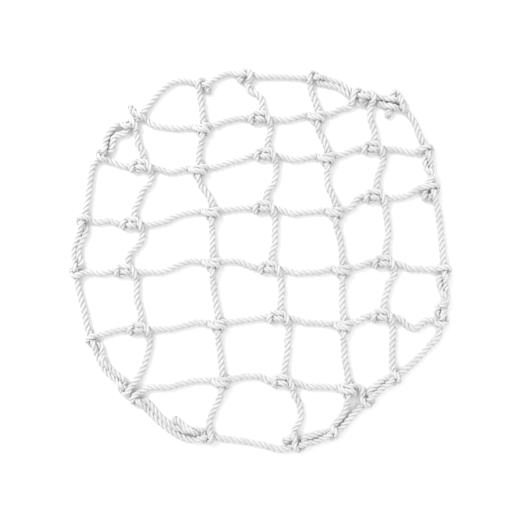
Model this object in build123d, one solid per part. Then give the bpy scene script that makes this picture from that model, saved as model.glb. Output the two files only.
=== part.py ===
from build123d import *

import os
from math import radians, tan

# Cargo climbing net for a playground: a hand-knotted rope net inside a rope border, lying flat.
#
# Frame: +Z is up, the net lies on Z = 0, and the origin is the middle of its underside.
# +Y points to the top edge of the net and +X to its right edge. Lengths are millimetres.
#
# The net is made of one size of three-strand rope. Five column ropes run from the top of the border
# to the bottom. Six row ropes cross them, and at each crossing the row rope takes one full turn round
# the column rope. All of them end in a turn round the border rope. Where the rope of one row carries on
# to the next row it lies beside the border, as a side strand.
#
# The net folds between its rows. Seven fold lines split it into eight strips, numbered 0 to 7 from the
# top. At a fold line the upper strip's rope ends in a ball that is centred on the fold line, and the
# lower strip's rope starts FOLD_GAP past it.

# --- the rope and its knots -------------------------------------------------------------------------
ROPE_DIAMETER = 12.0
ROPE_RADIUS = ROPE_DIAMETER / 2
BITE = 1.5                                # how deep a turn squeezes the rope that it holds
HOLD_RADIUS = ROPE_DIAMETER - BITE        # from the centre of a held rope to the centre of its turn
HELD_HEIGHT = ROPE_RADIUS + HOLD_RADIUS   # centre of a held rope, one turn above the floor
TURN_TOP = HELD_HEIGHT + HOLD_RADIUS      # centre of the rope where a turn passes over
TURN_ADVANCE = 12.8                       # how far one turn moves along the rope that it holds
RUN_IN = 18.0                             # straight rope before and after a turn
STRAIGHT_IN_ROOM = 38.0                   # a shorter end goes to its turn without the straight run-in
TUCKED_END = 16.0                         # height of the cut end that is tucked beside a turn

# --- how the ropes come down to the floor and meet the fold lines -------------------------------------
HELD_HALF = 9.0                           # a held rope is level this far each side of a knot
COME_DOWN = 19.0                          # length in which it comes down to the floor
SHORTEST_RUN = 8.0                        # shortest run that is left between two bends
FOLD_GAP = 6.3                            # from a fold line to the start of the lower strip's rope
BALL_RADIUS = 5.8                         # rounded end of the upper strip's rope
BEND_SHARE = 0.45                         # share of a run that each of its two bends takes
STRAIGHT_ANGLE = 0.5                      # a smaller turn, in degrees, needs no bend

# --- fold lines, top to bottom: a left and a right point of each --------------------------------------
FOLD_LINES = {
    1: ((-190, 264), (153, 292)),
    2: ((-260, 200), (271, 207)),
    3: ((-288, 116.5), (293, 151)),
    4: ((-309, 30), (305, 55)),
    5: ((-302, -72), (320, -54)),
    6: ((-261, -178), (280, -152)),
    7: ((-176, -261), (162, -254)),
}

# --- knots: rNcM is row N on column M, the others are on the border ---------------------------------------
KNOTS = {
    "r1c2": (-98, 226), "r1c3": (9, 241), "r1c4": (96, 244),
    "r2c1": (-193, 159), "r2c2": (-105, 154), "r2c3": (18, 179), "r2c4": (113, 174), "r2c5": (200, 186),
    "r3c1": (-208, 62), "r3c2": (-82, 82), "r3c3": (16, 89), "r3c4": (127, 82), "r3c5": (203, 108),
    "r4c1": (-218, -18), "r4c2": (-81, -4), "r4c3": (25, -13), "r4c4": (139, -16), "r4c5": (218, -3),
    "r5c1": (-196, -116), "r5c2": (-72, -108), "r5c3": (40, -96), "r5c4": (140, -110), "r5c5": (215, -94),
    "r6c2": (-65, -205), "r6c3": (47, -205), "r6c4": (149, -217),
    "top_1": (-224, 222), "top_2": (-96, 297), "top_3": (-8, 314), "top_4": (84, 309), "top_5": (199, 276),
    "right_1": (172, 281), "right_2": (281, 184), "right_3": (293, 120), "right_4": (312, -20),
    "right_5": (307, -101), "right_6": (183, -237), "border_tie": (229, 271),
    "bottom_1": (-229, -217), "bottom_2": (-91, -298), "bottom_3": (67, -313), "bottom_4": (113, -298),
    "bottom_5": (226, -201),
    "left_1": (-204, 240), "left_2": (-266, 180), "left_3": (-300, 65), "left_4": (-312, -18),
    "left_5": (-283, -137), "left_6": (-207, -237),
}

# --- column ropes: where each crosses the fold lines, as {fold line: X} --------------------------------
COLUMN_CROSSINGS = {
    1: {2: -211, 3: -196, 4: -206, 5: -210, 6: -194},
    2: {1: -92, 2: -98, 3: -98, 4: -82, 5: -77, 6: -64, 7: -80},
    3: {1: -1, 2: 15, 3: 23, 4: 25, 5: 35, 6: 45, 7: 68},
    4: {1: 91, 2: 102, 3: 113, 4: 133, 5: 138, 6: 144, 7: 145},
    5: {2: 192, 3: 199, 4: 217, 5: 216, 6: 223},
}

# side of its border knot on which each column rope comes in, along the border's listed direction
COLUMN_SIDES = {
    "top_1": -1, "top_2": 1, "top_3": 1, "top_4": 1, "top_5": -1,
    "bottom_1": -1, "bottom_2": -1, "bottom_3": 1, "bottom_4": -1, "bottom_5": -1,
}

# --- row ropes: knots by name, with a point of the floor between them where the rope bends --------------
ROW_ROUTES = {
    1: ["left_1", (-150, 226), "r1c2", (-45, 236), "r1c3", (52, 240), "r1c4", (128, 252), "right_1"],
    2: ["left_2", (-229, 168), "r2c1", (-148, 152), "r2c2", (-43, 167), "r2c3", (66, 172), "r2c4",
        (156, 184), "r2c5", (240, 187), "right_2"],
    3: ["left_3", (-254, 70), "r3c1", (-150, 71), "r3c2", (-32, 89), "r3c3", (72, 80), "r3c4",
        (166, 95), "r3c5", (248, 112), "right_3"],
    4: ["left_4", (-268, -24), "r4c1", (-148, -13), "r4c2", (-28, -4), "r4c3", (82, -20), "r4c4",
        (180, -11), "r4c5", (264, -15), "right_4"],
    5: ["left_5", (-242, -124), "r5c1", (-134, -112), "r5c2", (-16, -100), "r5c3", (90, -106), "r5c4",
        (178, -101), "r5c5", (262, -115), "right_5"],
    6: ["left_6", (-136, -211), "r6c2", (-9, -197), "r6c3", (98, -215), "r6c4", "right_6"],
}
# side of the left knot where a row rope comes in, and side of its right knot
ROW_STARTS = {1: -1, 2: -1, 3: 1, 4: -1, 5: 1, 6: 1}
ROW_ENDS = {1: -1, 2: -1, 3: 1, 4: -1, 5: 1, 6: 1}

# --- the border rope, strip by strip: knots, points of the floor, and (fold line, X) pairs --------------
BORDER_ROUTES = {
    "border_rope_top": (0, [("fold", 1, -190), (-166, 289), (-140, 303), "top_2", (-55, 315), "top_3",
                            (38, 311), "top_4", (121, 307), ("fold", 1, 151)]),
    "border_rope_right_1_start": (1, [("fold", 1, 151), "right_1", "top_5", "border_tie", (252, 267)]),
    "border_rope_left_1": (1, [("fold", 2, -251), "top_1", "left_1", ("fold", 1, -190)]),
    "border_rope_right_2": (2, [("fold", 2, 271), "right_2", ("fold", 3, 289)]),
    "border_rope_left_2": (2, [("fold", 3, -290), (-286, 145), "left_2", ("fold", 2, -251)]),
    "border_rope_right_3": (3, [("fold", 3, 289), "right_3", (302, 82), ("fold", 4, 306)]),
    "border_rope_left_3": (3, [("fold", 4, -310), "left_3", ("fold", 3, -290)]),
    "border_rope_right_4": (4, [("fold", 4, 306), (308, 24), "right_4", ("fold", 5, 316)]),
    "border_rope_left_4": (4, [("fold", 5, -302), "left_4", ("fold", 4, -310)]),
    "border_rope_right_5": (5, [("fold", 5, 316), "right_5", (293, -139), ("fold", 6, 279)]),
    "border_rope_left_5": (5, [("fold", 6, -268), "left_5", (-294, -104), ("fold", 5, -302)]),
    "border_rope_right_6": (6, [("fold", 6, 279), "bottom_5", "right_6", ("fold", 7, 167)]),
    "border_rope_left_6": (6, [("fold", 7, -185), "left_6", "bottom_1", (-257, -197), ("fold", 6, -268)]),
    "border_rope_bottom": (7, [("fold", 7, 167), (147, -275), "bottom_4", "bottom_3", (25, -319),
                               (-10, -311), (-45, -305), "bottom_2", (-133, -301), (-165, -280),
                               ("fold", 7, -185)]),
}

# --- side strands: rope that lies beside the border between two knots, as (strip, points) ---------------
SIDE_STRANDS = {
    "side_strand_left_1_to_2": (2, [(-248, 183), (-241, 191)]),
    "side_strand_right_2_to_3_upper": (2, [(272, 166), ("fold", 3, 275.5)]),
    "side_strand_right_2_to_3_lower": (3, [("fold", 3, 275.5), (279, 136)]),
    "side_strand_left_3_to_4_upper": (3, [(-292, 46), ("fold", 4, -297)]),
    "side_strand_left_3_to_4_lower": (4, [("fold", 4, -297), (-298, 14), (-296, -1)]),
    "side_strand_right_4_to_5_upper": (4, [(300, -38), ("fold", 5, 303)]),
    "side_strand_right_4_to_5_lower": (5, [("fold", 5, 303), (297, -83)]),
    "side_strand_left_5_to_6_upper": (5, [(-264, -149), ("fold", 6, -252)]),
    "side_strand_left_5_to_6_lower": (6, [("fold", 6, -252), (-236, -193)]),
    "side_strand_left_6_to_bottom_2_upper": (6, [(-186, -240), ("fold", 7, -165)]),
    "side_strand_left_6_to_bottom_2_lower": (7, [("fold", 7, -165), (-148, -272), (-126, -285),
                                                 (-111, -287)]),
    "side_strand_top_4_to_5_upper": (0, [(107, 294), ("fold", 1, 126)]),
    "side_strand_top_4_to_5_lower": (1, [("fold", 1, 126), (145, 277)]),
    "side_strand_bottom_4_to_3": (7, [(96, -290), (81, -295)]),
    "side_strand_right_6_to_bottom_5": (6, [(204, -199), (187, -213)]),
}

# --- loose ends: short tails that lie on the floor beside a knot ------------------------------------------
LOOSE_ENDS = {
    "loose_end_top_left": [(-233, 246), (-226, 266)],
    "loose_end_right_3": [(281, 97), (288, 79)],
    "loose_end_bottom_3": [(44, -303), (25, -304)],
    "loose_end_bottom_2": [(-143, -257), (-127, -268)],
    "loose_end_border_tie": [(219, 252), (213, 235)],
}
MELTED_LENGTH = 3.0                       # melted tip of a loose end
MELTED_RADIUS = 4.0                       # the tip's radius at its far face

# --- far end of the border rope: it comes up from the fold line and is tied round its own start ----------
BORDER_END_STRIP = 1
BORDER_END_ROUTE = [("fold", 2, 271), (262, 233)]
BORDER_END_SIDE = 1


def flat(point, height):
    """A plan point at a height."""
    return Vector(point[0], point[1], height)


def fold_point(step):
    """Where a rope crosses a fold line: ("fold", fold line, X)."""
    (x0, y0), (x1, y1) = FOLD_LINES[step[1]]
    return (step[2], y0 + (y1 - y0) * (step[2] - x0) / (x1 - x0))


def place(step):
    """Plan point of a step of a route, which is a knot's name, a fold crossing or a plain point."""
    if isinstance(step, str):
        return KNOTS[step]
    if step[0] == "fold":
        return fold_point(step)
    return step


def heading(start, end):
    """Unit vector in plan from one step to another."""
    return (flat(place(end), 0) - flat(place(start), 0)).normalized()


def bend_radii(points):
    """Largest even bend at each inner point of a path."""
    radii = []
    for before, here, after in zip(points, points[1:], points[2:]):
        half_turn = (here - before).get_angle(after - here) / 2
        shorter = min((here - before).length, (after - here).length)
        radii.append(BEND_SHARE * shorter / tan(radians(half_turn)))
    return radii


def without_straight_points(points):
    """The points of a path, less those that lie in line with their neighbours."""
    kept = [points[0]]
    for here, after in zip(points[1:], points[2:]):
        if (here - kept[-1]).get_angle(after - here) > STRAIGHT_ANGLE:
            kept.append(here)
    return kept + [points[-1]]


def tube(points, ball_start=False, ball_end=False):
    """Rope along a path, with a rounded end on a fold line where one is asked for."""
    points = without_straight_points(points)
    radii = bend_radii(points)
    if radii:
        path = FilletPolyline(*points, radius=radii)
    else:
        path = Line(*points)
    section = Plane(origin=path @ 0, z_dir=path % 0) * Circle(ROPE_RADIUS)
    rope = sweep(section, path=path)
    if ball_start:
        rope = rope + Pos(*(path @ 0)) * Sphere(BALL_RADIUS)
    if ball_end:
        rope = rope + Pos(*(path @ 1)) * Sphere(BALL_RADIUS)
    print(f"    length {path.length:.1f}, bend radii {[round(radius, 1) for radius in radii]}")
    return rope


def step_back(points, distance):
    """A path whose first point is moved along its first run."""
    start = points[0] + (points[1] - points[0]).normalized() * distance
    return [start] + points[1:]


def held_points(before, knot, after):
    """A rope through a knot: level over the turn that holds it, and down to the floor on each side."""
    centre = flat(KNOTS[knot], HELD_HEIGHT)
    along = heading(before, after)
    near = centre - along * HELD_HALF
    far = centre + along * HELD_HALF
    points = come_down(near, before)[::-1] + [near, far] + come_down(far, after)
    return points


def come_down(top, neighbour):
    """The point where a held rope reaches the floor, if the next step leaves room for it."""
    floor_end = flat(place(neighbour), ROPE_RADIUS)
    on_floor = flat((top.X, top.Y), ROPE_RADIUS)
    room = (floor_end - on_floor).length
    if isinstance(neighbour, str):
        room = (room - HELD_HALF) / 2
    if room < COME_DOWN + SHORTEST_RUN:
        return []
    return [on_floor + (floor_end - on_floor).normalized() * COME_DOWN]


def held_rope(route):
    """Path of a rope that other ropes are knotted to."""
    points = []
    for index, step in enumerate(route):
        if isinstance(step, str):
            points += held_points(route[index - 1], step, route[index + 1])
        else:
            points.append(flat(place(step), ROPE_RADIUS))
    return points


def on_upper_side(strip, step):
    """True where a strip lies above the fold line that a step is on."""
    return step[0] == "fold" and step[1] == strip + 1


def on_lower_side(strip, step):
    """True where a strip lies below the fold line that a step is on."""
    return step[0] == "fold" and step[1] == strip


def strip_tube(strip, route, points):
    """Rope of one strip, with a ball or a gap where its route starts or ends on a fold line."""
    if on_lower_side(strip, route[0]):
        points = step_back(points, FOLD_GAP)
    if on_lower_side(strip, route[-1]):
        points = step_back(points[::-1], FOLD_GAP)[::-1]
    return tube(points, on_upper_side(strip, route[0]), on_upper_side(strip, route[-1]))


def full_turn(knot, along, half_advance=TURN_ADVANCE / 2):
    """Row rope round a column rope: under it, over it and back under it, from left to right."""
    centre = flat(KNOTS[knot], 0)
    across = along.rotate(Axis.Z, -90)
    lean = half_advance / 3

    def at(across_by, along_by, height):
        return centre + across * across_by + along * along_by + Vector(0, 0, height)

    return [at(-RUN_IN, half_advance, ROPE_RADIUS), at(HOLD_RADIUS, half_advance, ROPE_RADIUS),
            at(HOLD_RADIUS, lean, TURN_TOP), at(-HOLD_RADIUS, -lean, TURN_TOP),
            at(-HOLD_RADIUS, -half_advance, ROPE_RADIUS), at(RUN_IN, -half_advance, ROPE_RADIUS)]


def end_turn(knot, along, outward, side, straight_in=True):
    """End of a rope round the border: under it, up outside, over it, and tucked in beside the turn."""
    centre = flat(KNOTS[knot], 0)
    half_advance = side * TURN_ADVANCE / 2
    lean = half_advance / 3

    def at(out_by, along_by, height):
        return centre + outward * out_by + along * along_by + Vector(0, 0, height)

    points = [at(HOLD_RADIUS, half_advance, ROPE_RADIUS), at(HOLD_RADIUS, lean, TURN_TOP),
              at(-HOLD_RADIUS, -lean, TURN_TOP), at(-HOLD_RADIUS, -half_advance, TUCKED_END)]
    if straight_in:
        points.insert(0, at(-RUN_IN, half_advance, ROPE_RADIUS))
    return points


def border_heading(knot):
    """Direction of the border rope at a knot, the way that its route is listed."""
    for strip, route in BORDER_ROUTES.values():
        if knot in route:
            index = route.index(knot)
            return heading(route[index - 1], route[index + 1])
    raise ValueError(knot)


def turn_on_border(knot, inner_point, side, straight_in=True):
    """End of a rope that comes from inside the net to a knot on the border."""
    along = border_heading(knot)
    outward = along.rotate(Axis.Z, 90)
    if outward.dot(flat(inner_point, 0) - flat(KNOTS[knot], 0)) > 0:
        outward = -outward
    return end_turn(knot, along, outward, side, straight_in)


def knot_heading(row, knot):
    """Direction of the column rope in a row's knot."""
    column = int(knot[-1])
    crossings = COLUMN_CROSSINGS[column]
    above = ("fold", row, crossings[row]) if row in crossings else f"top_{column}"
    below = ("fold", row + 1, crossings[row + 1]) if row + 1 in crossings else f"bottom_{column}"
    return heading(below, above)


def row_rope(row):
    """A row rope from border to border, with a full turn round each column rope."""
    route = ROW_ROUTES[row]
    points = turn_on_border(route[0], place(route[1]), ROW_STARTS[row])[::-1]
    for step in route[1:-1]:
        if isinstance(step, str):
            points += full_turn(step, knot_heading(row, step))
        else:
            points.append(flat(step, ROPE_RADIUS))
    points += turn_on_border(route[-1], place(route[-2]), ROW_ENDS[row])
    return tube(points)


def column_piece(strip, column):
    """One column rope's stretch in one strip, or None where the column doesn't reach the strip."""
    crossings = COLUMN_CROSSINGS[column]
    upper = ("fold", strip, crossings[strip]) if strip in crossings else None
    lower = ("fold", strip + 1, crossings[strip + 1]) if strip + 1 in crossings else None
    if upper is None and lower is None:
        return None
    knot = f"r{strip}c{column}"
    if upper is None:
        return column_end(strip, f"top_{column}", lower)
    if lower is None:
        return column_end(strip, f"bottom_{column}", upper)
    return strip_tube(strip, [upper, knot, lower], held_rope([upper, knot, lower]))


def column_end(strip, knot, crossing):
    """The end stretch of a column rope, from a fold line to its knot on the border."""
    start = flat(place(crossing), ROPE_RADIUS)
    room = (start - flat(KNOTS[knot], ROPE_RADIUS)).length
    end = turn_on_border(knot, place(crossing), COLUMN_SIDES[knot], straight_in=room > STRAIGHT_IN_ROOM)
    return strip_tube(strip, [crossing, knot], [start] + end)


def column_ropes(strip):
    """All the column ropes of a strip, as separate solids."""
    pieces = [column_piece(strip, column) for column in COLUMN_CROSSINGS]
    return Compound(children=[piece for piece in pieces if piece is not None])


def side_strand(strip, route):
    """A side strand, flat on the floor."""
    points = [flat(place(step), ROPE_RADIUS) for step in route]
    return strip_tube(strip, route, points)


def loose_end(points):
    """A short tail of rope on the floor."""
    return tube([flat(point, ROPE_RADIUS) for point in points])


def melted_tip(points):
    """The melted cap on the end of a tail."""
    base, end = (flat(point, ROPE_RADIUS) for point in points)
    cap = Cone(ROPE_RADIUS, MELTED_RADIUS, MELTED_LENGTH, align=(Align.CENTER, Align.CENTER, Align.MIN))
    return Plane(origin=end, z_dir=end - base) * cap


def border_rope(name):
    """One stretch of the border rope."""
    strip, route = BORDER_ROUTES[name]
    return strip_tube(strip, route, held_rope(route))


def border_rope_end():
    """The far end of the border rope, tied round its start."""
    points = [flat(place(step), ROPE_RADIUS) for step in BORDER_END_ROUTE]
    points += turn_on_border("border_tie", place(BORDER_END_ROUTE[-1]), BORDER_END_SIDE)
    return strip_tube(BORDER_END_STRIP, [BORDER_END_ROUTE[0], "border_tie"], points)


def write(name, shape):
    """Write one node's STEP file."""
    print(name)
    export_step(shape, f"parts/{name}.step")


os.makedirs("parts", exist_ok=True)
for row in ROW_ROUTES:
    write(f"row_rope_{row}", row_rope(row))
for strip in range(8):
    write(f"column_ropes_{strip}", column_ropes(strip))
for name in BORDER_ROUTES:
    write(name, border_rope(name))
write("border_rope_right_1_end", border_rope_end())
for name, (strip, route) in SIDE_STRANDS.items():
    write(name, side_strand(strip, route))
for name, points in LOOSE_ENDS.items():
    write(name, loose_end(points))
    write(name.replace("loose_end", "melted_tip"), melted_tip(points))
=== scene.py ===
import math

import bpy
import numpy as np
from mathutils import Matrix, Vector, kdtree


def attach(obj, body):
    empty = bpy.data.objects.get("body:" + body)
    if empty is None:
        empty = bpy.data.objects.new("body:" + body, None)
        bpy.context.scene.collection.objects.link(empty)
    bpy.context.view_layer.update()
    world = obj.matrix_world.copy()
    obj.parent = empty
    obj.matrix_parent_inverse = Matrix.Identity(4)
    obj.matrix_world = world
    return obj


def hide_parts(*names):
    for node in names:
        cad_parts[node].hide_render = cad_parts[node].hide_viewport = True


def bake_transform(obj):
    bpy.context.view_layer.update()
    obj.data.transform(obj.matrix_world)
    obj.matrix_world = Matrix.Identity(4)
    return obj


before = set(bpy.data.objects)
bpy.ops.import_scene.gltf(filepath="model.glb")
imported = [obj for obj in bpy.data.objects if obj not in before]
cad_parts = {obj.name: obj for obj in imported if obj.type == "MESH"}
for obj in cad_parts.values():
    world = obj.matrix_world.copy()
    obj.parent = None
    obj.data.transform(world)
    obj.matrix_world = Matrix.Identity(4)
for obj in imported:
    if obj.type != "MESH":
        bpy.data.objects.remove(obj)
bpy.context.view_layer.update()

# Cargo climbing net, seen from above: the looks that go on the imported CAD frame.
#
# Every rope is three-strand laid rope. Its route is a list of points in millimetres, with the knots
# filled in from the templates below. Over a third of the points were read off the picture by eye and
# scaled to millimetres by another script; the others were typed in millimetres. A short relaxation then
# pulls the ropes snug, keeps them out of each other and lays them on the floor, and the strands are wound
# round the result.

MM = 0.001

# --- the rope, in millimetres -------------------------------------------------------------------------
STRAND_RADIUS = 3.1          # each of the three strands
STRAND_CENTRE = 3.1          # from the rope's centre to a strand's centre
ROPE_RADIUS = STRAND_RADIUS + STRAND_CENTRE
LAY = 30.0                   # length of one turn of a strand, right-handed
SEGMENTS = 20                # faces across one strand
YARNS = 9                    # yarns round one strand
YARN_DEPTH = 0.22
YARN_PITCH = 46.0            # length in which a yarn goes once round its strand
RING_STEP = 2.0

# --- fold lines: strips 0 to 7 from the top, fold n is between strip n - 1 and strip n ----------------
STRIPS = ["top_strip", "row_1_strip", "row_2_strip", "row_3_strip",
          "row_4_strip", "row_5_strip", "row_6_strip", "bottom_strip"]

# --- knots --------------------------------------------------------------------------------------------
KNOTS = {
    "r1c2": (-98, 224), "r1c3": (9, 241), "r1c4": (96, 244),
    "r2c1": (-193, 159), "r2c2": (-105, 154), "r2c3": (18, 179), "r2c4": (113, 174), "r2c5": (200, 190),
    "r3c1": (-208, 62), "r3c2": (-82, 82), "r3c3": (16, 89), "r3c4": (127, 82), "r3c5": (203, 108),
    "r4c1": (-218, -18), "r4c2": (-81, -4), "r4c3": (25, -13), "r4c4": (139, -16), "r4c5": (218, -3),
    "r5c1": (-196, -116), "r5c2": (-72, -108), "r5c3": (40, -96), "r5c4": (140, -110), "r5c5": (215, -94),
    "r6c2": (-65, -205), "r6c3": (47, -205), "r6c4": (149, -217),
    "top_1": (-219, 228), "top_2": (-96, 297), "top_3": (-24, 314), "top_4": (91, 309), "top_5": (183, 276),
    "right_1": (167, 279), "right_2": (283, 184), "right_3": (293, 120), "right_4": (312, -20),
    "right_5": (307, -101), "right_6": (183, -237), "border_tie": (229, 271),
    "bottom_1": (-229, -217), "bottom_2": (-91, -300), "bottom_3": (67, -313), "bottom_4": (120, -294),
    "bottom_5": (226, -201),
    "left_1": (-205, 241), "left_2": (-266, 180), "left_3": (-300, 65), "left_4": (-312, -18),
    "left_5": (-283, -137), "left_6": (-207, -237),
}

# --- routes of the rows, left to right, and of the columns, top to bottom -----------------------------
ROWS = {
    1: [(-179, 231), (-162, 226), (-145, 223), (-125, 223), "r1c2", (-69, 232), (-52, 237), (-35, 241),
        "r1c3", (42, 237), (59, 241), "r1c4", (122, 252), (139, 258), (152, 264)],
    2: [(-239, 171), (-225, 164), "r2c1", (-162, 150), (-145, 150), (-128, 151), "r2c2", (-60, 163),
        (-43, 168), (-26, 172), "r2c3", (50, 170), (67, 171), (82, 174), "r2c4", (145, 182), "r2c5",
        (237, 188), (252, 188)],
    3: [(-272, 69), (-252, 69), "r3c1", (-161, 65), (-145, 74), (-128, 79), (-112, 82), "r3c2", (-50, 86),
        (-35, 88), "r3c3", (50, 79), (67, 80), (84, 82), "r3c4", (160, 94), "r3c5", (237, 106),
        (254, 111), (268, 116)],
    4: [(-284, -23), (-268, -25), "r4c1", (-167, -20), (-150, -14), (-133, -6), (-117, -1), "r4c2",
        (-48, -1), (-31, -4), "r4c3", (54, -22), (71, -21), (88, -20), (104, -20), "r4c4", (169, -13),
        "r4c5", (248, -14), (271, -15), (286, -14)],
    5: [(-262, -133), (-252, -130), (-235, -120), "r5c1", (-152, -116), (-137, -113), (-103, -105),
        "r5c2", (-35, -103), (-14, -100), "r5c3", (70, -105), (98, -106), "r5c4", (170, -102), "r5c5",
        (248, -112), (266, -116), (282, -112)],
    6: [(-178, -225), (-157, -216), (-140, -211), (-103, -203), "r6c2", (-33, -198), (-15, -197),
        (3, -197), "r6c3", (76, -214), (93, -215), (110, -215), "r6c4", (166, -225)],
}
COLUMNS = {
    1: [(-213, 205), (-208, 193), "r2c1", (-190, 132), (-197, 120), (-202, 108), (-206, 97), "r3c1",
        (-207, 31), (-212, 18), "r4c1", (-210, -50), (-210, -67), (-207, -84), "r5c1", (-187, -146),
        (-191, -161), (-196, -178), (-202, -192)],
    2: [(-94, 277), (-97, 262), "r1c2", (-98, 196), "r2c2", (-98, 127), (-93, 113), "r3c2", (-81, 45),
        (-80, 30), "r4c2", (-79, -42), (-77, -62), (-74, -82), "r5c2", (-71, -140), (-67, -156),
        (-64, -173), "r6c2", (-74, -237), (-79, -254), (-84, -271)],
    3: [(-4, 295), (-1, 280), (2, 268), "r1c3", (16, 210), "r2c3", (26, 140), (22, 126), "r3c3",
        (25, 50), (25, 38), (25, 24), "r4c3", (37, -47), (36, -62), "r5c3", (46, -135), (47, -150),
        (45, -166), "r6c3", (65, -238), (68, -254), (69, -271), (68, -286)],
    4: [(91, 283), (93, 268), "r1c4", (99, 215), (103, 203), "r2c4", (113, 137), (116, 120), "r3c4",
        (134, 42), (137, 28), (139, 14), "r4c4", (136, -48), (139, -71), "r5c4", (142, -144), (144, -170),
        (145, -188), "r6c4", (152, -245), (144, -259), (136, -271)],
    5: [(185, 252), (185, 238), (190, 220), "r2c5", (200, 148), (201, 140), "r3c5", (215, 70), (216, 56),
        (218, 42), "r4c5", (218, -38), (217, -50), "r5c5", (225, -130), (224, -147), (224, -170)],
}

# --- side strands: rope that runs on from one border knot to the next, inside the border --------------
SIDE_STRANDS = {
    "side_strand_left_1_to_2": [(-250, 198), (-244, 211), (-234, 219)],
    "side_strand_right_2_to_3": [(282, 165), (289, 153, 15), (295, 142, 12), (288, 130, 15)],
    "side_strand_left_3_to_4": [(-296, 42, 8), (-305, 30, 15), (-313, 16, 15), (-307, 2, 14)],
    "side_strand_right_4_to_5": [(303, -42, 8), (311, -54, 15), (317, -66, 14), (309, -80, 15)],
    "side_strand_left_5_to_6": [(-270, -160, 9), (-268, -174, 15), (-252, -190, 12)],
    "side_strand_left_6_to_bottom_2": [(-184, -248, 9), (-168, -266, 15), (-150, -282, 15), (-128, -288, 9)],
    "side_strand_top_4_to_5": [(108, 299), (122, 296, 13), (136, 298, 16), (150, 284, 12)],
    "side_strand_bottom_4_to_3": [(100, -294), (90, -298), (80, -300)],
    "side_strand_right_6_to_bottom_5": [(211, -201), (200, -210), (190, -219)],
}
LOOSE_ENDS = {
    "top_left": [(-215, 250), (-219, 258)],
    "right_3": [(280, 122), (279, 112), (281, 104)],
    "bottom_3": [(60, -300, 9), (50, -303), (42, -306)],
    "bottom_2": [(-104, -295, 8), (-118, -287, 13), (-132, -279, 13), (-143, -269, 8)],
    "border_tie": [(222, 256), (218, 249), (216, 244)],
}

# --- the border rope, clockwise from its tie at the upper right ---------------------------------------
BORDER = [(261, 234), (266, 222), (271, 208), "right_2", (289, 160), (292, 145), "right_3",
          (300, 91), (303, 74), (305, 55), (307, 38), (309, 20), "right_4", (314, -46), (316, -62),
          (314, -78), "right_5", (302, -130), (288, -145), (275, -159), (261, -173), (246, -186), "bottom_5",
          (210, -214), (197, -226), "right_6", (169, -251), (157, -263), (147, -275), (135, -287), "bottom_4",
          (92, -309), "bottom_3", (42, -321), (25, -319), (8, -314), (-9, -310), (-26, -307), (-43, -305),
          (-60, -303), "bottom_2", (-115, -305), (-133, -300), (-152, -289), (-167, -278), (-183, -263),
          "left_6", (-218, -228), "bottom_1", (-246, -202), (-259, -190), (-270, -172), (-278, -156),
          "left_5", (-291, -120), (-295, -101), (-298, -84), (-303, -67), (-307, -50), "left_4",
          (-315, 4), (-314, 18), (-310, 33), (-305, 48), "left_3", (-295, 82), (-293, 94), (-290, 111),
          (-288, 128), (-286, 145), (-282, 162), "left_2", (-262, 200), (-257, 214), (-247, 226),
          (-234, 232), "top_1", "left_1",
          (-191, 259), (-179, 274), (-166, 288), (-152, 299), (-137, 304), (-120, 303), "top_2",
          (-82, 302), (-68, 312), (-52, 317), "top_3", (10, 311), (35, 311), (60, 310), "top_4", (104, 309),
          (120, 305), (138, 297), (152, 288), "right_1", "top_5", (200, 276), (214, 274)]

# --- knot templates, as offsets in millimetres from the knot, with heights above the floor ------------
# In columns 2 and 4 the row rope takes a turn round the column rope and crosses its own start.
ROW_TURN = [(-24, 1, 7), (-14, 3, 12), (-7, 3, 19), (0, -1, 25), (6, -6, 21), (8.5, -8, 13), (4, -7, 7),
            (-3, -6, 6.2), (-8.5, -7, 10), (-7, -6, 15), (-1, -1, 18), (6, 3, 17), (13, 3, 11), (23, 2, 7)]
COLUMN_HELD = [(0, 24, 6.5), (0, 15, 7.5), (0, 7, 9), (0, 0, 11), (0, -7, 13), (0, -15, 10), (0, -25, 6.5)]
COLUMN_HELD_CUT = 3
# In columns 1, 3 and 5 the column rope takes a long half hitch round the row rope, to its left.
ROW_HELD = [(-40, -1, 8), (-30, 0, 12), (-20, 0, 14), (-10, -2, 14), (2, -4, 10), (12, -3, 8), (24, -2, 6.5)]
COLUMN_TURN = [(-5, 30, 6.5), (-5, 19, 6.2), (-5, 8, 6.2), (-8, 0, 6.2), (-14, -6, 6.2), (-21, -9, 9),
               (-26, -6, 16), (-25, 0, 20), (-18, 5, 20), (-11, 8, 19), (-4, 10, 20), (2, 7, 21),
               (6, -1, 20), (9, -12, 13), (10, -27, 7)]
COLUMN_TURN_CUT = 8
TIE_END = [(227, 272, 17), (237, 271, 15), (246, 266, 11), (246, 257, 10), (237, 254, 12), (226, 258, 15),
           (215, 262, 9), (204, 264, 6.5)]
# On the border: along the border towards the side strand, outwards, height.
HITCH = [(-5, -26, 7), (-5, -16, 10), (-5, -8, 17), (-4, 0, 22), (-2.5, 7, 19), (-1, 9.5, 12), (2, 5, 6.5),
         (4, -3, 6.2), (8, -9, 7), (17, -10.5, 7)]
HITCH_CUT = 7
HITCH_TOP = 5                # points of a hitch that only goes over the border
SLANTED_HITCHES = ["bottom_4", "bottom_5", "right_6"]     # here the rope doesn't come in square to the border
SLANTED_START = 2            # so the hitch starts with this point of the template
BORDER_HELD = [(-9, 0, 12), (0, 0, 14), (9, 0, 12)]
BORDER_HELD_CUT = 1
TIE_TURN = [(221, 259, 6.5), (224, 270, 6.2), (226, 282, 11), (231, 284, 21), (235, 273, 28), (238, 262, 22),
            (243, 255, 12), (252, 247, 7)]

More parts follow.
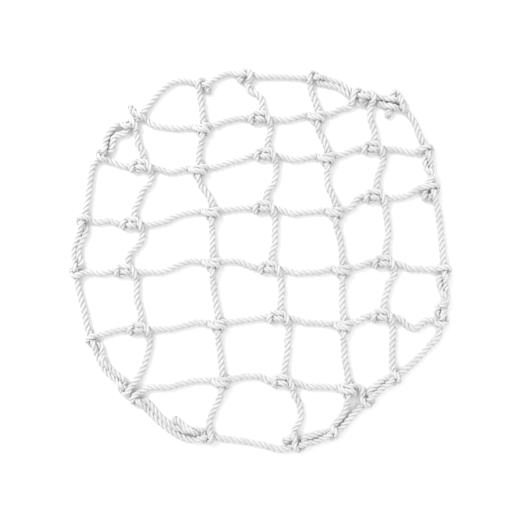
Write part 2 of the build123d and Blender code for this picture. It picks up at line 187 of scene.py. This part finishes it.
HOLD = 0.2                   # how firmly a point of a route stays where it is
HOLD_IN_KNOT = 0.015
ROW_REACH = 30.0             # plain points nearer to a knot than this give way to its template
LONG_KNOT_REACH = 43.0
COLUMN_REACH = 34.0
BORDER_REACH = 34.0          # and the same for the border's hitches, and for the strands that leave them
STRAND_REACH = 21.0


BORDER_KNOTS = [name for name in KNOTS if "_" in name]


class Route:
    """Points of a rope, how firmly each is held, and the piece that each interval belongs to."""

    def __init__(self, points=(), holds=(), pieces=()):
        self.points, self.holds, self.pieces = list(points), list(holds), list(pieces)

    def add(self, point, hold, piece):
        if self.points:
            self.pieces.append(piece)
        self.points.append(point)
        self.holds.append(hold)

    def back(self):
        return Route(self.points[::-1], self.holds[::-1], self.pieces[::-1])

    def then(self, other):
        """This route and then another: the interval between them goes on with the next piece."""
        link = [other.pieces[0]] if other.pieces else [self.pieces[-1]]
        return Route(self.points + other.points, self.holds + other.holds, self.pieces + link + other.pieces)


def on_floor(points, piece, hold=HOLD):
    route = Route()
    for x, y, *height in points:
        route.add((x, y, height[0] if height else ROPE_RADIUS), hold, piece)
    return route


def outside(step, names, reach):
    """True for a point that is further than this from all the named knots."""
    return all(math.dist(step[:2], KNOTS[name]) > reach for name in names)


def long_knot(name):
    """True for the knots of columns 1, 3 and 5, where the column rope is hitched round the row rope."""
    return name[-1] in "135"


def row_reach(name, step):
    """How near to a crossing a plain point of the row may come: long knots take more room on the left."""
    return LONG_KNOT_REACH if long_knot(name) and step[0] < KNOTS[name][0] else ROW_REACH


def row_route(row):
    """A row rope between its border knots, from left to right."""
    piece = f"row_rope_{row}"
    knots = [KNOTS[step] for step in ROWS[row] if isinstance(step, str)]
    names = [step for step in ROWS[row] if isinstance(step, str)]
    route = Route()
    for step in ROWS[row]:
        if isinstance(step, str):
            x, y = KNOTS[step]
            for dx, dy, z in ROW_HELD if long_knot(step) else ROW_TURN:
                route.add((x + dx, y + dy, z), HOLD_IN_KNOT, piece)
            continue
        clear = all(math.dist(step, knot) > row_reach(name, step) for name, knot in zip(names, knots))
        if clear and outside(step, [f"left_{row}", f"right_{row}"], BORDER_REACH):
            route.add((*step, ROPE_RADIUS), HOLD, piece)
    return route


def column_route(column):
    """A column rope between its border knots, from top to bottom, with a new piece from each knot."""
    names = [step for step in COLUMNS[column] if isinstance(step, str)]
    strip = int(names[0][1]) - 1
    piece = f"column_{column}_rope_{strip}_{strip + 1}"
    route = Route()
    for step in COLUMNS[column]:
        if isinstance(step, str):
            x, y = KNOTS[step]
            turn = long_knot(step)
            template, cut = (COLUMN_TURN, COLUMN_TURN_CUT) if turn else (COLUMN_HELD, COLUMN_HELD_CUT)
            for index, (dx, dy, z) in enumerate(template):
                if index == cut + 1:
                    strip += 1
                    piece = f"column_{column}_rope_{strip}_{strip + 1}"
                route.add((x + dx, y + dy, z), HOLD_IN_KNOT, piece)
        elif outside(step, names + [f"top_{column}", f"bottom_{column}"], COLUMN_REACH):
            route.add((*step, ROPE_RADIUS), HOLD, piece)
    return route


def border_direction(name):
    """Unit vector along the border at a knot, clockwise, and the one that points out of the net."""
    steps = [KNOTS.get(step, step) for step in BORDER]
    index = BORDER.index(name)
    before, after = steps[index - 1], steps[(index + 1) % len(steps)]
    size = math.dist(before, after)
    along = ((after[0] - before[0]) / size, (after[1] - before[1]) / size)
    return along, (-along[1], along[0])


def hitch(name, way, inner, strand, last=None):
    """From inside the net round the border rope, and off along it: way is 1 for clockwise."""
    first = SLANTED_START if name in SLANTED_HITCHES else 0
    (ax, ay), (ox, oy) = border_direction(name)
    x, y = KNOTS[name]
    route = Route()
    for index, (along, out, z) in enumerate(HITCH[:last]):
        if index < first:
            continue
        piece = inner if index <= HITCH_CUT else strand
        along *= way
        route.add((x + along * ax + out * ox, y + along * ay + out * oy, z), HOLD_IN_KNOT, piece)
    return route


def border_route():
    """The border rope, clockwise, from its loose end in the tie round to its other end in the tie."""
    cuts = {"right_2": "2_3", "right_3": "3_4", "right_4": "4_5", "right_5": "5_6", "right_6": "6_7",
            "bottom_3": "7_6", "left_6": "6_5", "left_5": "5_4", "left_4": "4_3", "left_3": "3_2",
            "left_2": "2_1", "left_1": "1_0", "top_3": "0_1"}
    piece = "border_rope_1_2"
    route = on_floor(LOOSE_ENDS["border_tie"][::-1], "loose_end_border_tie")
    for point in TIE_TURN:
        route.add(point, HOLD_IN_KNOT, piece)
    for step in BORDER:
        if isinstance(step, tuple):
            route.add((*step, ROPE_RADIUS), HOLD, piece)
            continue
        (ax, ay), _ = border_direction(step)
        x, y = KNOTS[step]
        for index, (along, _, z) in enumerate(BORDER_HELD):
            if index == BORDER_HELD_CUT + 1 and step in cuts:
                piece = f"border_rope_{cuts[step]}"
            route.add((x + along * ax, y + along * ay, z), HOLD, piece)
    for point in TIE_END:
        route.add(point, HOLD_IN_KNOT, piece)
    return route


def all_routes():
    """Every rope of the net from end to end."""
    strand = {}
    for name, points in SIDE_STRANDS.items():
        clear = [step for step in points if outside(step, BORDER_KNOTS, STRAND_REACH)]
        strand[name] = on_floor(clear, name, HOLD / 4)
    row = {number: row_route(number) for number in ROWS}
    column = {number: column_route(number) for number in COLUMNS}
    end = HITCH_CUT + 2

    rope_1 = hitch("right_1", 1, "row_rope_1", "row_rope_1", end).back().then(row[1].back())
    rope_1 = rope_1.then(hitch("left_1", -1, "row_rope_1", "row_rope_1", HITCH_TOP))
    rope_1 = rope_1.then(on_floor(LOOSE_ENDS["top_left"], "loose_end_top_left"))

    name = "side_strand_right_2_to_3"
    rope_2 = on_floor(LOOSE_ENDS["right_3"][::-1], "loose_end_right_3", HOLD / 4).then(strand[name].back())
    rope_2 = rope_2.then(hitch("right_2", 1, "row_rope_2", name).back()).then(row[2].back())
    name = "side_strand_left_1_to_2"
    rope_2 = rope_2.then(hitch("left_2", 1, "row_rope_2", name)).then(strand[name])
    rope_2 = rope_2.then(hitch("top_1", -1, "column_1_rope_1_2", name).back()).then(column[1])
    name = "side_strand_left_5_to_6"
    rope_2 = rope_2.then(hitch("bottom_1", 1, "column_1_rope_5_6", name)).then(strand[name].back())
    rope_2 = rope_2.then(hitch("left_5", -1, "row_rope_5", name).back()).then(row[5])
    name = "side_strand_right_4_to_5"
    rope_2 = rope_2.then(hitch("right_5", -1, "row_rope_5", name)).then(strand[name].back())
    rope_2 = rope_2.then(hitch("right_4", 1, "row_rope_4", name).back()).then(row[4].back())
    name = "side_strand_left_3_to_4"
    rope_2 = rope_2.then(hitch("left_4", 1, "row_rope_4", name)).then(strand[name].back())
    rope_2 = rope_2.then(hitch("left_3", -1, "row_rope_3", name).back()).then(row[3])
    rope_2 = rope_2.then(hitch("right_3", 1, "row_rope_3", "row_rope_3", end))

    rope_3 = hitch("top_2", 1, "column_2_rope_0_1", "column_2_rope_0_1", end).back().then(column[2])
    name = "side_strand_left_6_to_bottom_2"
    rope_3 = rope_3.then(hitch("bottom_2", 1, "column_2_rope_6_7", name)).then(strand[name].back())
    rope_3 = rope_3.then(hitch("left_6", -1, "row_rope_6", name).back()).then(row[6])
    name = "side_strand_right_6_to_bottom_5"
    rope_3 = rope_3.then(hitch("right_6", -1, "row_rope_6", name)).then(strand[name].back())
    rope_3 = rope_3.then(hitch("bottom_5", 1, "column_5_rope_5_6", name).back()).then(column[5].back())
    name = "side_strand_top_4_to_5"
    rope_3 = rope_3.then(hitch("top_5", -1, "column_5_rope_1_2", name)).then(strand[name].back())
    rope_3 = rope_3.then(hitch("top_4", 1, "column_4_rope_0_1", name).back()).then(column[4])
    name = "side_strand_bottom_4_to_3"
    rope_3 = rope_3.then(hitch("bottom_4", 1, "column_4_rope_6_7", name)).then(strand[name])
    rope_3 = rope_3.then(hitch("bottom_3", -1, "column_3_rope_6_7", name).back()).then(column[3].back())
    rope_3 = rope_3.then(hitch("top_3", -1, "column_3_rope_0_1", "column_3_rope_0_1", end))

    tails = [on_floor(LOOSE_ENDS[name], f"loose_end_{name}") for name in ("bottom_3", "bottom_2")]
    return [border_route(), rope_1, rope_2, rope_3] + tails


# --- relaxation ---------------------------------------------------------------------------------------
NODE_STEP = 4.0
ROUTE_SAMPLES = 24           # points of the smooth curve between two points of a route
ROPE_SAMPLES = 4             # and between two nodes of a relaxed rope
TOUCH = 8.6                  # centre to centre where two ropes are squeezed together
NEIGHBOURS = 3               # nodes this near along one rope don't push each other
ROUNDS = 240
PAIR_EVERY = 8               # rounds between two searches for ropes that are near each other
PAIR_MARGIN = 4.0            # how much further than TOUCH that search looks
SINK = 0.12                  # how far a node falls in a round
STRAIGHTEN = 0.22            # share of a bend that is taken out in a round
PUSH = 1.4                   # how strongly squeezed ropes are pushed apart
TINY = 0.5                   # shortest distance that a push is worked out from


def smooth_curve(points, samples):
    """Centripetal Catmull-Rom curve through the points, and the interval of each sample."""
    points = np.array(points, float)
    padded = np.vstack([2 * points[0] - points[1], points, 2 * points[-1] - points[-2]])
    curve, interval = [], []
    for index in range(len(points) - 1):
        p = padded[index:index + 4]
        knots = np.concatenate([[0], np.cumsum(np.sqrt(np.linalg.norm(np.diff(p, axis=0), axis=1)))])
        t = np.linspace(knots[1], knots[2], samples, endpoint=False)[:, None]
        level = list(p)
        for depth in range(1, 4):
            spans = [(i, i + depth) if depth < 3 else (1, 2) for i in range(4 - depth)]
            level = [((knots[b] - t) * level[i] + (t - knots[a]) * level[i + 1]) / (knots[b] - knots[a])
                     for i, (a, b) in enumerate(spans)]
        curve.append(level[0])
        interval += [index] * samples
    return np.vstack(curve + [points[-1:]]), np.array(interval + [len(points) - 2])


def resample(curve, step, *values):
    """Evenly spaced points of a curve, with the nearest of each list of values."""
    along = np.concatenate([[0], np.cumsum(np.linalg.norm(np.diff(curve, axis=0), axis=1))])
    count = max(int(round(along[-1] / step)), 2)
    at = np.linspace(0, along[-1], count + 1)
    even = np.stack([np.interp(at, along, curve[:, axis]) for axis in range(3)], 1)
    nearest = np.clip(np.searchsorted(along, at), 0, len(along) - 1)
    return even, [value[nearest] for value in values], at


def relax(ropes, holds):
    """Pulls all the ropes snug together. ropes and holds are lists of arrays; new positions come back."""
    x = np.vstack(ropes)
    home = x.copy()
    hold = np.concatenate(holds)[:, None]
    rope_of = np.concatenate([np.full(len(r), i) for i, r in enumerate(ropes)])
    first = np.flatnonzero(rope_of[:-1] == rope_of[1:])
    rest = np.linalg.norm(x[first + 1] - x[first], axis=1)
    inner = np.intersect1d(first, first + 1)
    pairs = None
    for turn in range(ROUNDS):
        x[:, 2] -= SINK
        x[inner] += STRAIGHTEN * ((x[inner - 1] + x[inner + 1]) / 2 - x[inner])
        x[:, :2] += hold * (home[:, :2] - x[:, :2])
        for parity in (0, 1):
            a = first[first % 2 == parity]
            gap = x[a + 1] - x[a]
            size = np.linalg.norm(gap, axis=1)
            fix = (gap * (0.5 * (size - rest[first % 2 == parity]) / size)[:, None])
            x[a] += fix
            x[a + 1] -= fix
        if turn % PAIR_EVERY == 0:
            tree = kdtree.KDTree(len(x))
            for i, p in enumerate(x):
                tree.insert(p, i)
            tree.balance()
            found = [(i, j) for i, p in enumerate(x)
                     for _, j, _ in tree.find_range(p, TOUCH + PAIR_MARGIN) if j > i]
            pairs = np.array(found)
            near = (rope_of[pairs[:, 0]] == rope_of[pairs[:, 1]]) & (pairs[:, 1] - pairs[:, 0] <= NEIGHBOURS)
            pairs = pairs[~near]
        a, b = pairs[:, 0], pairs[:, 1]
        gap = x[b] - x[a]
        size = np.maximum(np.linalg.norm(gap, axis=1), TINY)
        deep = size < TOUCH
        a, b, gap, size = a[deep], b[deep], gap[deep], size[deep]
        push = gap * (0.5 * (TOUCH - size) / size)[:, None]
        moved = np.zeros_like(x)
        count = np.zeros(len(x))
        np.add.at(moved, a, -push)
        np.add.at(moved, b, push)
        np.add.at(count, a, 1)
        np.add.at(count, b, 1)
        x += moved / np.maximum(count, 1)[:, None] * PUSH
        x[:, 2] = np.maximum(x[:, 2], ROPE_RADIUS)
    return [x[rope_of == i] for i in range(len(ropes))]


# --- strands ------------------------------------------------------------------------------------------
VALLEY = math.acos((STRAND_CENTRE ** 2 + STRAND_RADIUS ** 2
                    - ((STRAND_CENTRE + math.sqrt(4 * STRAND_RADIUS ** 2 - 3 * STRAND_CENTRE ** 2)) / 2) ** 2)
                   / (2 * STRAND_CENTRE * STRAND_RADIUS))
LOBE = math.pi - VALLEY      # a strand shows this much of its circle each side


def frames(path):
    """Tangents and two sideways axes that don't twist along a path."""
    tangent = np.gradient(path, axis=0)
    tangent /= np.linalg.norm(tangent, axis=1)[:, None]
    side = np.zeros_like(path)
    start = np.cross(tangent[0], (0, 0, 1))
    side[0] = start / np.linalg.norm(start)
    for i in range(1, len(path)):
        axis = np.cross(tangent[i - 1], tangent[i])
        sine = np.linalg.norm(axis)
        previous = side[i - 1]
        if sine > 1e-9:
            axis /= sine
            cosine = tangent[i - 1] @ tangent[i]
            previous = (previous * cosine + np.cross(axis, previous) * sine
                        + axis * (axis @ previous) * (1 - cosine))
        previous = previous - tangent[i] * (previous @ tangent[i])
        side[i] = previous / np.linalg.norm(previous)
    return tangent, side, np.cross(tangent, side)


def rings(path, along, squeeze):
    """Rings of points round a path: three strands wound to the right, with their yarns."""
    _, side, up = frames(path)
    turn = 2 * np.pi * along / LAY
    local = np.linspace(-LOBE, LOBE, SEGMENTS + 1)[:-1]
    points = []
    for strand in range(3):
        middle = turn + strand * 2 * np.pi / 3
        yarn = YARNS * (local[None, :] / (2 * np.pi) - along[:, None] / YARN_PITCH)
        radius = STRAND_RADIUS - YARN_DEPTH * (1 - np.abs(np.sin(np.pi * yarn)))
        radius[:, 0] = STRAND_RADIUS
        angle = middle[:, None] + local[None, :]
        a = STRAND_CENTRE * np.cos(middle)[:, None] + radius * np.cos(angle)
        b = STRAND_CENTRE * np.sin(middle)[:, None] + radius * np.sin(angle)
        a, b = a * squeeze[:, None], b * squeeze[:, None]
        points.append(path[:, None, :] + a[..., None] * side[:, None, :] + b[..., None] * up[:, None, :])
    return np.concatenate(points, 1)


def rope_mesh(name, loops, along, centre):
    """A closed mesh of rings, with the place on its strand as UV coordinates."""
    count, size = loops.shape[:2]
    verts = np.vstack([loops.reshape(-1, 3), centre[:1], centre[-1:]]) * MM
    ring = np.arange(size)
    after = (ring + 1) % size
    near = np.arange(count - 1)[:, None] * size
    far = near + size
    quads = np.stack([near + ring, near + after, far + after, far + ring], 2).reshape(-1, 4)
    start, finish = count * size, count * size + 1
    first_cap = np.stack([np.full(size, start), after, ring], 1)
    last = (count - 1) * size
    last_cap = np.stack([np.full(size, finish), last + ring, last + after], 1)
    mesh = bpy.data.meshes.new(name)
    mesh.vertices.add(len(verts))
    mesh.vertices.foreach_set("co", verts.astype(np.float32).ravel())
    corners = np.concatenate([quads.ravel(), first_cap.ravel(), last_cap.ravel()])
    mesh.loops.add(len(corners))
    mesh.loops.foreach_set("vertex_index", corners.astype(np.int32))
    totals = np.concatenate([np.full(len(quads), 4), np.full(2 * size, 3)])
    starts = np.concatenate([[0], np.cumsum(totals)[:-1]])
    mesh.polygons.add(len(totals))
    mesh.polygons.foreach_set("loop_start", starts.astype(np.int32))
    smooth = np.concatenate([np.ones(len(quads), bool), np.zeros(2 * size, bool)])
    mesh.update(calc_edges=True)
    mesh.polygons.foreach_set("use_smooth", smooth)
    local = np.concatenate([np.linspace(-1, 1, SEGMENTS + 1)[:-1]] * 3)
    end = np.concatenate([np.linspace(-1, 1, SEGMENTS + 1)[1:]] * 3)
    uv = np.zeros((len(corners), 2), np.float32)
    rows = np.arange(count - 1)
    block = np.zeros((count - 1, size, 4, 2), np.float32)
    low, high = (along[rows] / LAY)[:, None], (along[rows + 1] / LAY)[:, None]
    block[:, :, 0, 0], block[:, :, 1, 0] = low, low
    block[:, :, 2, 0], block[:, :, 3, 0] = high, high
    block[:, :, 0, 1], block[:, :, 3, 1] = local, local
    block[:, :, 1, 1], block[:, :, 2, 1] = end, end
    uv[:len(quads) * 4] = block.reshape(-1, 2)
    layer = mesh.uv_layers.new(name="strand")
    layer.data.foreach_set("uv", uv.ravel())
    mesh.validate()
    obj = bpy.data.objects.new(name, mesh)
    bpy.context.scene.collection.objects.link(obj)
    return obj


# --- materials ----------------------------------------------------------------------------------------
def rope_material(name, colour, valley_shade_colour, roughness):
    material = bpy.data.materials.new(name)
    material.use_nodes = True
    nodes, links = material.node_tree.nodes, material.node_tree.links
    shader = nodes["Principled BSDF"]
    uv = nodes.new("ShaderNodeUVMap")
    uv.uv_map = "strand"
    split = nodes.new("ShaderNodeSeparateXYZ")
    links.new(uv.outputs["UV"], split.inputs[0])
    # Painted shade: each strand's colour darkens towards both edges of its band, in the valleys between the
    # strands, where shade falls.
    edge = nodes.new("ShaderNodeMath")
    edge.operation = "ABSOLUTE"
    links.new(split.outputs["Y"], edge.inputs[0])
    valley_shade_mask = nodes.new("ShaderNodeMapRange")
    valley_shade_mask.interpolation_type = "SMOOTHSTEP"
    valley_shade_mask.inputs["From Min"].default_value = 0.45
    valley_shade_mask.inputs["From Max"].default_value = 0.98
    links.new(edge.outputs[0], valley_shade_mask.inputs["Value"])
    stretch = nodes.new("ShaderNodeMapping")
    stretch.inputs["Scale"].default_value = (5.0, 16.0, 1.0)
    links.new(uv.outputs["UV"], stretch.inputs["Vector"])
    fibre = nodes.new("ShaderNodeTexNoise")
    fibre.inputs["Scale"].default_value = 1.0
    fibre.inputs["Detail"].default_value = 6.0
    fibre.inputs["Roughness"].default_value = 0.65
    links.new(stretch.outputs[0], fibre.inputs["Vector"])
    place = nodes.new("ShaderNodeTexCoord")
    soil = nodes.new("ShaderNodeTexNoise")
    soil.inputs["Scale"].default_value = 38.0
    soil.inputs["Detail"].default_value = 3.0
    links.new(place.outputs["Object"], soil.inputs["Vector"])
    ramp = nodes.new("ShaderNodeValToRGB")
    ramp.color_ramp.elements[0].position = 0.35
    ramp.color_ramp.elements[0].color = (*[0.90 * c for c in colour], 1)
    ramp.color_ramp.elements[1].position = 0.62
    ramp.color_ramp.elements[1].color = (*colour, 1)
    links.new(soil.outputs["Fac"], ramp.inputs["Fac"])
    streak = nodes.new("ShaderNodeMix")
    streak.data_type = "RGBA"
    streak.blend_type = "MULTIPLY"
    streak.inputs["Factor"].default_value = 0.15
    links.new(ramp.outputs["Color"], streak.inputs["A"])
    links.new(fibre.outputs["Fac"], streak.inputs["B"])
    # Mixes the painted valley shade into the base colour.
    deep = nodes.new("ShaderNodeMix")
    deep.data_type = "RGBA"
    deep.inputs["B"].default_value = (*valley_shade_colour, 1)
    links.new(valley_shade_mask.outputs["Result"], deep.inputs["Factor"])
    links.new(streak.outputs["Result"], deep.inputs["A"])
    links.new(deep.outputs["Result"], shader.inputs["Base Color"])
    bump = nodes.new("ShaderNodeBump")
    bump.inputs["Strength"].default_value = 0.5
    bump.inputs["Distance"].default_value = 0.0004
    links.new(fibre.outputs["Fac"], bump.inputs["Height"])
    links.new(bump.outputs["Normal"], shader.inputs["Normal"])
    shader.inputs["Roughness"].default_value = roughness
    shader.inputs["Sheen Weight"].default_value = 0.25
    shader.inputs["Sheen Roughness"].default_value = 0.45
    return material


def floor_material():
    material = bpy.data.materials.new("floor")
    material.use_nodes = True
    nodes, links = material.node_tree.nodes, material.node_tree.links
    shader = nodes["Principled BSDF"]
    grain = nodes.new("ShaderNodeTexNoise")
    grain.inputs["Scale"].default_value = 30.0
    ramp = nodes.new("ShaderNodeValToRGB")
    ramp.color_ramp.elements[0].color = (0.93, 0.93, 0.93, 1)
    ramp.color_ramp.elements[1].color = (0.95, 0.95, 0.95, 1)
    links.new(grain.outputs["Fac"], ramp.inputs["Fac"])
    links.new(ramp.outputs["Color"], shader.inputs["Base Color"])
    shader.inputs["Roughness"].default_value = 0.9
    return material


# --- camera, floor and light --------------------------------------------------------------------------
CAMERA_HEIGHT = 1.7
VIEW_WIDTH = 0.884
SENSOR = 36.0


def studio():
    camera = bpy.data.objects.new("camera", bpy.data.cameras.new("camera"))
    bpy.context.scene.collection.objects.link(camera)
    camera.data.sensor_width = SENSOR
    camera.data.lens = SENSOR * CAMERA_HEIGHT / VIEW_WIDTH
    camera.location = (0, 0, CAMERA_HEIGHT)
    bpy.context.scene.camera = camera
    bpy.ops.mesh.primitive_plane_add(size=40)
    floor = bpy.context.object
    floor.name = "floor"
    floor.data.materials.append(floor_material())
    bpy.context.scene.view_settings.view_transform = "Standard"
    world = bpy.data.worlds.new("studio")
    bpy.context.scene.world = world
    world.use_nodes = True
    world.node_tree.nodes["Background"].inputs["Color"].default_value = (1, 1, 1, 1)
    world.node_tree.nodes["Background"].inputs["Strength"].default_value = 1.0
    for name, place, power, size in [("key", (-1.7, 1.5, 2.0), 50, 1.0), ("fill", (1.8, -1.2, 2.4), 14, 2.0)]:
        light = bpy.data.objects.new(name, bpy.data.lights.new(name, "AREA"))
        light.data.energy = power
        light.data.size = size
        light.location = place
        light.rotation_mode = "QUATERNION"
        light.rotation_quaternion = (-Vector(place)).to_track_quat("-Z", "Y")
        bpy.context.scene.collection.objects.link(light)


studio()

TIP_LENGTH = 5.0
TIP_RADIUS = 5.2
TIP_RINGS = 9
MELT_RATE = 1.6              # how soon along a tip its strands have run together
LUMPS = 0.05                 # unevenness of the melted surface, as a share of its radius
ROUNDNESS = 2.6
SMALLEST_TIP = 0.0004
SQUEEZE_MARGIN = 1.1         # how far a pinched rope still reaches past the middle of the gap
THINNEST = 0.75              # the most that a rope is pinched, as a share of its radius


def squeezed(path, others, start):
    """How much a rope is pinched at each node, by how near the next rope is."""
    share = np.ones(len(path))
    for i, point in enumerate(path):
        for _, j, size in others.find_range(point, 2 * ROPE_RADIUS):
            if abs(j - start - i) > NEIGHBOURS + 1:
                share[i] = min(share[i], (size / 2 + SQUEEZE_MARGIN) / ROPE_RADIUS)
    for _ in range(3):
        share[1:-1] = (share[:-2] + share[1:-1] + share[2:]) / 3
    return np.clip(share, THINNEST, 1.0)


def tip(name, loop, centre, outward, along):
    """The rounded, melted end of a rope: rings that close over its last ring."""
    steps = np.linspace(0, 1, TIP_RINGS)
    loops, middles = [], []
    for t in steps:
        spoke = loop - centre
        size = np.linalg.norm(spoke, axis=1)[:, None]
        melt = min(1.0, MELT_RATE * t)
        lumps = (1 + LUMPS * np.sin(3 * np.arange(len(loop)) / 7))[:, None]
        radius = (1 - melt) * size + melt * TIP_RADIUS * lumps
        round_off = math.sqrt(max(1 - t ** ROUNDNESS, SMALLEST_TIP))
        middle = centre + outward * TIP_LENGTH * t
        loops.append(middle + spoke / size * radius * round_off)
        middles.append(middle)
    return rope_mesh(name, np.array(loops), along + steps * TIP_LENGTH, np.array(middles))


def across(obj, upper, lower):
    """A piece that lies across the fold line between two strips: its transform is baked into its mesh. upper
    and lower are put in order but not used.
    """
    upper, lower = min(upper, lower), max(upper, lower)
    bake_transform(obj)


STRAND_STRIPS = {
    "side_strand_left_1_to_2": (1, 2), "side_strand_right_2_to_3": (2, 3), "side_strand_left_3_to_4": (3, 4),
    "side_strand_right_4_to_5": (4, 5), "side_strand_left_5_to_6": (5, 6),
    "side_strand_left_6_to_bottom_2": (6, 7), "side_strand_top_4_to_5": (0, 1),
    "side_strand_bottom_4_to_3": (7,), "side_strand_right_6_to_bottom_5": (6,),
}
END_STRIPS = {"loose_end_top_left": 1, "loose_end_right_3": 3, "loose_end_bottom_3": 7,
              "loose_end_bottom_2": 7, "loose_end_border_tie": 1}
BORDER_NODES = {
    "1_2": ("border_rope_right_1_end", "border_rope_right_2"),
    "2_3": ("border_rope_right_2", "border_rope_right_3"),
    "3_4": ("border_rope_right_3", "border_rope_right_4"),
    "4_5": ("border_rope_right_4", "border_rope_right_5"),
    "5_6": ("border_rope_right_5", "border_rope_right_6"),
    "6_7": ("border_rope_right_6", "border_rope_bottom"),
    "7_6": ("border_rope_bottom", "border_rope_left_6"),
    "6_5": ("border_rope_left_6", "border_rope_left_5"),
    "5_4": ("border_rope_left_5", "border_rope_left_4"),
    "4_3": ("border_rope_left_4", "border_rope_left_3"),
    "3_2": ("border_rope_left_3", "border_rope_left_2"),
    "2_1": ("border_rope_left_2", "border_rope_left_1"),
    "1_0": ("border_rope_left_1", "border_rope_top"),
    "0_1": ("border_rope_top", "border_rope_right_1_start"),
}


def place_piece(obj, name):
    """Gives a piece on one strip its body and hides the CAD nodes that it stands for; a piece across a fold
    gets no body, only a baked transform.
    """
    if name.startswith("row_rope"):
        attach(obj, STRIPS[int(name[-1])])
        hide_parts(name)
    elif name.startswith("column"):
        upper, lower = int(name[-3]), int(name[-1])
        across(obj, upper, lower)
        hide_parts(f"column_ropes_{upper}", f"column_ropes_{lower}")
    elif name.startswith("border"):
        across(obj, int(name[-3]), int(name[-1]))
        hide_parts(*BORDER_NODES[name[-3:]])
    elif name.startswith("side_strand"):
        strips = STRAND_STRIPS[name]
        if len(strips) == 2:
            across(obj, *strips)
        else:
            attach(obj, STRIPS[strips[0]])
        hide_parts(*[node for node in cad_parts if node.startswith(name)])
    else:
        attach(obj, STRIPS[END_STRIPS[name]])
        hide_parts(name)


routes = all_routes()
nodes_of, holds_of, pieces_of = [], [], []
for route in routes:
    curve, interval = smooth_curve(route.points, ROUTE_SAMPLES)
    held = np.array([min(route.holds[i], route.holds[i + 1]) for i in interval])
    even, (held, interval), _ = resample(curve, NODE_STEP, held, interval)
    nodes_of.append(even)
    holds_of.append(held)
    pieces_of.append(np.array([route.pieces[min(i, len(route.pieces) - 1)] for i in interval]))
relaxed = relax(nodes_of, holds_of)

# The third colour of each material is painted shade for the valleys between the strands.
rope = rope_material("rope_white", (0.74, 0.74, 0.755), (0.60, 0.585, 0.565), 0.6)
melted = rope_material("melted_end", (0.62, 0.60, 0.57), (0.50, 0.48, 0.45), 0.45)
everything = kdtree.KDTree(sum(len(path) for path in relaxed))
index = 0
for path in relaxed:
    for point in path:
        everything.insert(point, index)
        index += 1
everything.balance()
# both ends of every rope: the node of its melted tip, or a name where the end is tucked away, and its strip
ENDS = [
    (("melted_tip_border_tie", 1), ("tucked_end_border", 1)),
    (("tucked_end_right_1", 1), ("melted_tip_top_left", 1)),
    (("melted_tip_right_3", 3), ("tucked_end_right_3", 3)),
    (("tucked_end_top_2", 0), ("tucked_end_top_3", 0)),
    (("tucked_end_bottom_3", 7), ("melted_tip_bottom_3", 7)),
    (("tucked_end_bottom_2", 7), ("melted_tip_bottom_2", 7)),
]

total, start = 0.0, 0
for path, names, (first_end, last_end) in zip(relaxed, pieces_of, ENDS):
    squeeze = squeezed(path, everything, start)
    start += len(path)
    curve, interval = smooth_curve(path, ROPE_SAMPLES)
    even, (interval,), along = resample(curve, RING_STEP, interval)
    total += along[-1]
    loops = rings(even, along, squeeze[interval])
    names = names[interval]
    starts = [0] + [i for i in range(1, len(names)) if names[i] != names[i - 1]] + [len(names) - 1]
    for a, b in zip(starts, starts[1:]):
        name = str(names[a])
        obj = rope_mesh(f"laid_{name}", loops[a:b + 1], along[a:b + 1], even[a:b + 1])
        obj.data.materials.append(rope)
        place_piece(obj, name)
    for (name, strip), loop, i, j in ((first_end, loops[0][::-1], 0, 1), (last_end, loops[-1], -1, -2)):
        outward = (even[i] - even[j]) / np.linalg.norm(even[i] - even[j])
        obj = tip(f"sealed_{name}", loop, even[i], outward, along[i])
        obj.data.materials.append(melted)
        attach(obj, STRIPS[strip])
        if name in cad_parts:
            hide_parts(name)
print("rope length", round(total), "mm")
